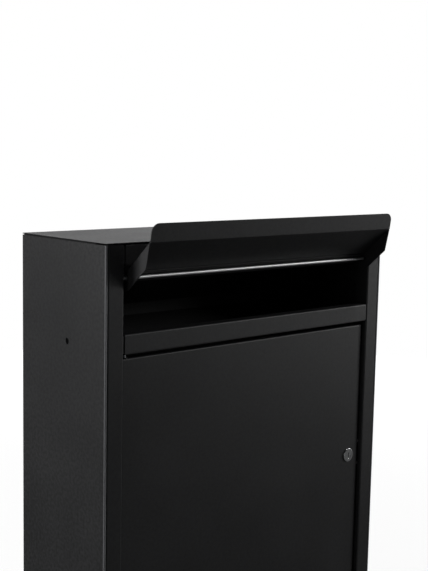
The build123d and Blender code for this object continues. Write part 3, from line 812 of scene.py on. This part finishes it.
@dataclass
class CrossScrew:
    """A pan-head screw with a cross recess, drawn with its head up.

    Attributes:
        shank_radius: The radius of the shank.
        shank_length: The length of the shank under the head.
        head_radius: The radius of the head.
        head_height: The height of the head.
        sides: How many sides its circles have.
        dome_rings: How many rings the dome of the head has.
        point: The tip's chamfer as a share of the shank's radius.
        rim: The height of the head's upright rim as a share of the head's height.
        recess_reach: The length of one arm of the recess as a share of the head's radius.
        recess_half: Half the width of an arm as a share of the head's radius.
        recess_floor: The height of the recess's floor as a share of the head's height.
        recess_taper: How long an arm is at the floor and above the head, as shares of its reach.
        first_turn: How far the first screw is turned in its seat, in degrees.
        next_turn: How much further each next screw is turned, in degrees.
    """

    shank_radius: float
    shank_length: float
    head_radius: float
    head_height: float
    sides: int = 40
    dome_rings: int = 6
    point: float = 0.6
    rim: float = 0.35
    recess_reach: float = 0.55
    recess_half: float = 0.13
    recess_floor: float = 0.25
    recess_taper: tuple[float, float] = (0.55, 1.25)
    first_turn: float = 20.0
    next_turn: float = 47.0

    def outline(self) -> list[tuple[float, float]]:
        """Draw half of the screw's profile.

        Returns:
            The radius and height of each ring, from the tip to the crown.
        """
        point = self.point * self.shank_radius
        rim = self.rim * self.head_height
        dome = self.head_height - rim
        turns = [math.radians(90.0 / self.dome_rings * step) for step in range(self.dome_rings)]
        arc = [(self.head_radius * math.cos(turn), rim + dome * math.sin(turn)) for turn in turns]
        return [
            (0.0, -self.shank_length),
            (self.shank_radius - point, -self.shank_length),
            (self.shank_radius, -self.shank_length + point),
            (self.shank_radius, 0.0),
            (self.head_radius, 0.0),
            *arc,
            (0.0, self.head_height),
        ]

    def turned(self) -> bpy.types.Mesh:
        """Turn the profile round the axis.

        Returns:
            The screw before its recess is pressed in.
        """
        shape = bmesh.new()
        rings = [shape.verts.new((radius, 0.0, height)) for radius, height in self.outline()]
        edges = [shape.edges.new(pair) for pair in zip(rings, rings[1:])]
        bmesh.ops.spin(
            shape,
            geom=rings + edges,
            axis=(0, 0, 1),
            cent=(0, 0, 0),
            angle=math.tau,
            steps=self.sides,
        )
        bmesh.ops.remove_doubles(shape, verts=shape.verts, dist=0.001 * MILLIMETRE)
        bmesh.ops.recalc_face_normals(shape, faces=shape.faces)
        mesh = bpy.data.meshes.new("screw_blank")
        shape.to_mesh(mesh)
        shape.free()
        return mesh

    def punch(self) -> bpy.types.Mesh:
        """Make the tool that presses the recess.

        Returns:
            A cross-shaped prism that widens upwards and stands out of the head.
        """
        reach, half = self.recess_reach * self.head_radius, self.recess_half * self.head_radius
        floor, roof = self.recess_floor * self.head_height, 1.5 * self.head_height
        shape = bmesh.new()
        corner = [(reach, -half), (reach, half), (half, half)]
        rings = []
        for height, share in zip((floor, roof), self.recess_taper):
            ring = []
            for quarter in range(4):
                turn = Matrix.Rotation(quarter * math.pi / 2, 3, "Z")
                ring += [shape.verts.new(turn @ Vector((x * share, y, height))) for x, y in corner]
            rings.append(ring)
        bottom, top = rings
        shape.faces.new(bottom[::-1])
        shape.faces.new(top)
        for step in range(len(bottom)):
            after = (step + 1) % len(bottom)
            shape.faces.new((bottom[step], bottom[after], top[after], top[step]))
        bmesh.ops.recalc_face_normals(shape, faces=shape.faces)
        mesh = bpy.data.meshes.new("screw_punch")
        shape.to_mesh(mesh)
        shape.free()
        return mesh

    def pressed(self) -> bpy.types.Mesh:
        """Press the recess into the head.

        Returns:
            The finished screw.
        """
        blank = bpy.data.objects.new("screw_blank", self.turned())
        punch = bpy.data.objects.new("screw_punch", self.punch())
        for piece in (blank, punch):
            bpy.context.scene.collection.objects.link(piece)
        recess = blank.modifiers.new("recess", "BOOLEAN")
        recess.operation = "DIFFERENCE"
        recess.object = punch
        graph = bpy.context.evaluated_depsgraph_get()
        mesh = bpy.data.meshes.new_from_object(blank.evaluated_get(graph))
        for piece in (blank, punch):
            bpy.data.objects.remove(piece)
        mesh.shade_smooth()
        mesh.set_sharp_from_angle(angle=math.radians(SHARP_EDGE))
        return mesh

    def drive(self, name: str, seats: list[Point], direction: Point) -> bpy.types.Object:
        """Set screws in their seats.

        Args:
            name: The name of the group.
            seats: The middle of the underside of each head.
            direction: The way the heads look.

        Returns:
            One object that holds all the screws.
        """
        pressed = self.pressed()
        facing = Vector(direction).to_track_quat("Z", "Y").to_matrix().to_4x4()
        shape = bmesh.new()
        for number, seat in enumerate(seats):
            degrees = self.first_turn + self.next_turn * number
            turn = Matrix.Rotation(math.radians(degrees), 4, "Z")
            old = set(shape.verts)
            shape.from_mesh(pressed)
            new = [vertex for vertex in shape.verts if vertex not in old]
            bmesh.ops.transform(shape, matrix=Matrix.Translation(seat) @ facing @ turn, verts=new)
        mesh = bpy.data.meshes.new(name)
        shape.to_mesh(mesh)
        shape.free()
        screws = bpy.data.objects.new(name, mesh)
        bpy.context.scene.collection.objects.link(screws)
        return screws


@dataclass
class CamLock(SubAssembly):
    """The lock on the door, its strike behind the post and the screws of both.

    Attributes:
        shank_radius: The radius of the screws' shanks.
    """

    shank_radius: float = 2.0 * MILLIMETRE

    def build(self) -> None:
        """Dress the lock and fit the screws."""
        self.dressed.update(
            lock_body=Finish.LOCK,
            lock_plug=Finish.LOCK,
            lock_nut=Finish.HARDWARE,
            lock_cam=Finish.SHEET,
            strike_plate=Finish.SHEET,
        )
        self.dress_nodes()
        self.fit_strike_screws()
        self.fit_cam_screw()

    def fit_strike_screws(self) -> None:
        """Screw the strike plate to the post, heads towards the opening."""
        low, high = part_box("strike_screws")
        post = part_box("jamb_right")[0][0]
        head_radius = (high[1] - low[1]) / 2
        screw = CrossScrew(self.shank_radius, high[0] - post, head_radius, post - low[0])
        middle = (low[1] + high[1]) / 2
        seats = [(post, middle, low[2] + head_radius), (post, middle, high[2] - head_radius)]
        screws = screw.drive("strike_screw_heads", seats, (-1.0, 0.0, 0.0))
        self.fit(screws, "strike_screws", "cabinet")

    def fit_cam_screw(self) -> None:
        """Screw the cam to the lock's plug, head to the rear."""
        low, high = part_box("cam_screw")
        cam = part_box("lock_cam")[1][1]
        head_radius = (high[0] - low[0]) / 2
        screw = CrossScrew(self.shank_radius, cam - low[1], head_radius, high[1] - cam)
        seat = ((low[0] + high[0]) / 2, cam, (low[2] + high[2]) / 2)
        self.fit(screw.drive("cam_screw_head", [seat], (0.0, 1.0, 0.0)), "cam_screw", "lock")

    def fit(self, screws: bpy.types.Object, node: str, body: str) -> None:
        """Put screws in place of their plain CAD solids.

        Args:
            screws: The screws.
            node: The CAD node that they stand for.
            body: The body that they ride on.
        """
        self.shop.dress(screws, Finish.HARDWARE)
        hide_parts(node)
        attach(screws, body)


class Inside(SubAssembly):
    """The sloping plate, its brackets and the mat."""

    def build(self) -> None:
        """Dress what is inside the cabinet."""
        self.dressed.update(
            chute_plate=Finish.CHUTE, chute_angles=Finish.CABINET, floor_mat=Finish.FOAM
        )
        self.dress_nodes()


# ------------------------------------------------------------------ studio
@dataclass
class Softbox:
    """A soft area light.

    Attributes:
        name: The light's name.
        place: Where it hangs.
        aim: The point it faces.
        width: Its width.
        height: Its height.
        power: Its power in watts.
    """

    name: str
    place: Point
    aim: Point
    width: float
    height: float
    power: float

    def hang(self) -> None:
        """Create the light."""
        data = bpy.data.lights.new(self.name, "AREA")
        data.shape = "RECTANGLE"
        data.size = self.width
        data.size_y = self.height
        data.energy = self.power
        lamp = bpy.data.objects.new(self.name, data)
        lamp.location = self.place
        ray = Vector(self.aim) - Vector(self.place)
        lamp.rotation_euler = ray.to_track_quat("-Z", "Y").to_euler()
        lamp.visible_camera = False
        bpy.context.scene.collection.objects.link(lamp)


@dataclass
class Studio:
    """A pale floor, an even pale surround and soft light.

    Attributes:
        floor_radius: The radius of the round floor.
        floor_sides: How many sides its edge has.
        floor_colour: The floor's colour to look at.
        floor_bounce: The share of light that the floor throws back up.
        floor_glow: How bright the middle of the floor is where no light falls, to look at.
        surround: The brightness of the surround as a light.
        surround_colour: The colour of the surround as a light.
        softboxes: The lights.
    """

    floor_radius: float = 3.2
    floor_sides: int = 96
    floor_colour: Colour = (0.55, 0.55, 0.55)
    floor_bounce: Colour = (0.12, 0.12, 0.12)
    floor_glow: float = 0.55
    surround: float = 0.03
    surround_colour: Colour = (0.97, 0.985, 1.0)
    softboxes: tuple[Softbox, ...] = (
        Softbox("key_light", (2.8, -2.05, 1.75), (0.0, -0.1, 0.6), 1.2, 0.6, 30.0),
        Softbox("low_light", (3.2, -2.1, 0.35), (0.1, -0.1, 0.5), 1.4, 0.6, 7.0),
        Softbox("top_light", (0.3, 0.35, 3.0), (0.0, 0.1, 0.8), 2.4, 0.7, 42.0),
        Softbox("back_light", (2.7, 3.0, 1.5), (0.0, 0.0, 0.8), 4.4, 1.8, 26.0),
        Softbox("left_light", (-2.6, 1.05, 1.35), (-0.3, 0.0, 0.6), 1.2, 1.8, 40.0),
        Softbox("corner_light", (-3.0, -0.5, 1.2), (-0.3, -0.1, 0.6), 0.6, 1.6, 6.0),
    )

    def build(self) -> None:
        """Lay the floor, light the surround and hang the lights."""
        self.lay_floor()
        self.light_surround()
        for softbox in self.softboxes:
            softbox.hang()

    def lay_floor(self) -> None:
        """Lay the floor under the cabinet."""
        mesh = bpy.data.meshes.new("studio_floor")
        shape = bmesh.new()
        bmesh.ops.create_circle(
            shape, cap_ends=True, segments=self.floor_sides, radius=self.floor_radius
        )
        shape.to_mesh(mesh)
        shape.free()
        floor = bpy.data.objects.new("studio_floor", mesh)
        bpy.context.scene.collection.objects.link(floor)
        paper = Paintwork("studio_floor")
        seen = Shade(paper.tree, paper.node("ShaderNodeLightPath").outputs["Is Camera Ray"])
        distance = paper.node("ShaderNodeVectorMath", {"operation": "LENGTH"}, Vector=paper.place)
        outward = (Shade(paper.tree, distance.outputs["Value"]) / self.floor_radius) ** 2
        glow = seen * (outward * (1.0 - self.floor_glow) + self.floor_glow)
        paper.set(
            Base_Color=paper.between(seen, self.floor_bounce, self.floor_colour),
            Roughness=0.9,
            Specular_IOR_Level=0.0,
            Emission_Color=paper.between(glow, BLACK, WHITE),
            Emission_Strength=1.0,
        )
        mesh.materials.append(paper.material)

    def light_surround(self) -> None:
        """Make the surround white to look at and softer as a light."""
        world = bpy.data.worlds.new("studio_surround")
        bpy.context.scene.world = world
        world.use_nodes = True
        surround = NodeWork(world.node_tree)
        surround.tree.nodes.clear()
        seen = surround.node("ShaderNodeBackground", Color=WHITE)
        lighting = surround.node(
            "ShaderNodeBackground", Color=self.surround_colour, Strength=self.surround
        )
        ray = surround.node("ShaderNodeLightPath")
        mix = surround.node("ShaderNodeMixShader", Fac=ray.outputs["Is Camera Ray"])
        surround.tree.links.new(lighting.outputs[0], mix.inputs[1])
        surround.tree.links.new(seen.outputs[0], mix.inputs[2])
        surround.node("ShaderNodeOutputWorld", Surface=mix.outputs[0])


@dataclass
class Viewpoint:
    """The camera, in front of the cabinet and to its left, a little above its roof.

    Attributes:
        place: Where the camera stands.
        turn: How far its view is turned to the right of straight at the front, in degrees.
        dip: How far it looks down, in degrees.
        lean: How far it leans, in degrees.
        lens: The focal length, in millimetres on a 36 mm sensor.
    """

    place: Point = (-1.1955, -1.3163, 0.9368)
    turn: float = 42.30
    dip: float = 7.32
    lean: float = 1.14
    lens: float = 68.25

    def build(self) -> None:
        """Create the camera and make it the scene's."""
        data = bpy.data.cameras.new("camera")
        data.sensor_width = 36.0
        data.lens = self.lens
        data.clip_end = 500.0
        camera = bpy.data.objects.new("camera", data)
        turn = Matrix.Rotation(math.radians(-self.turn), 4, "Z")
        dip = Matrix.Rotation(math.radians(90.0 - self.dip), 4, "X")
        lean = Matrix.Rotation(math.radians(self.lean), 4, "Z")
        camera.matrix_world = Matrix.Translation(self.place) @ turn @ dip @ lean
        bpy.context.scene.collection.objects.link(camera)
        bpy.context.scene.camera = camera


def main() -> None:
    """Build the box and the studio round it."""
    logging.basicConfig(level=logging.INFO, format="%(name)s: %(message)s")
    shop = FinishShop()
    for kind in (Shell, FrontFrame, DepositFlap, CollectionDoor, CamLock, Inside):
        kind(shop).build()
    Studio().build()
    Viewpoint().build()
    bpy.context.scene.view_settings.view_transform = "Standard"


if __name__ == "__main__":
    main()
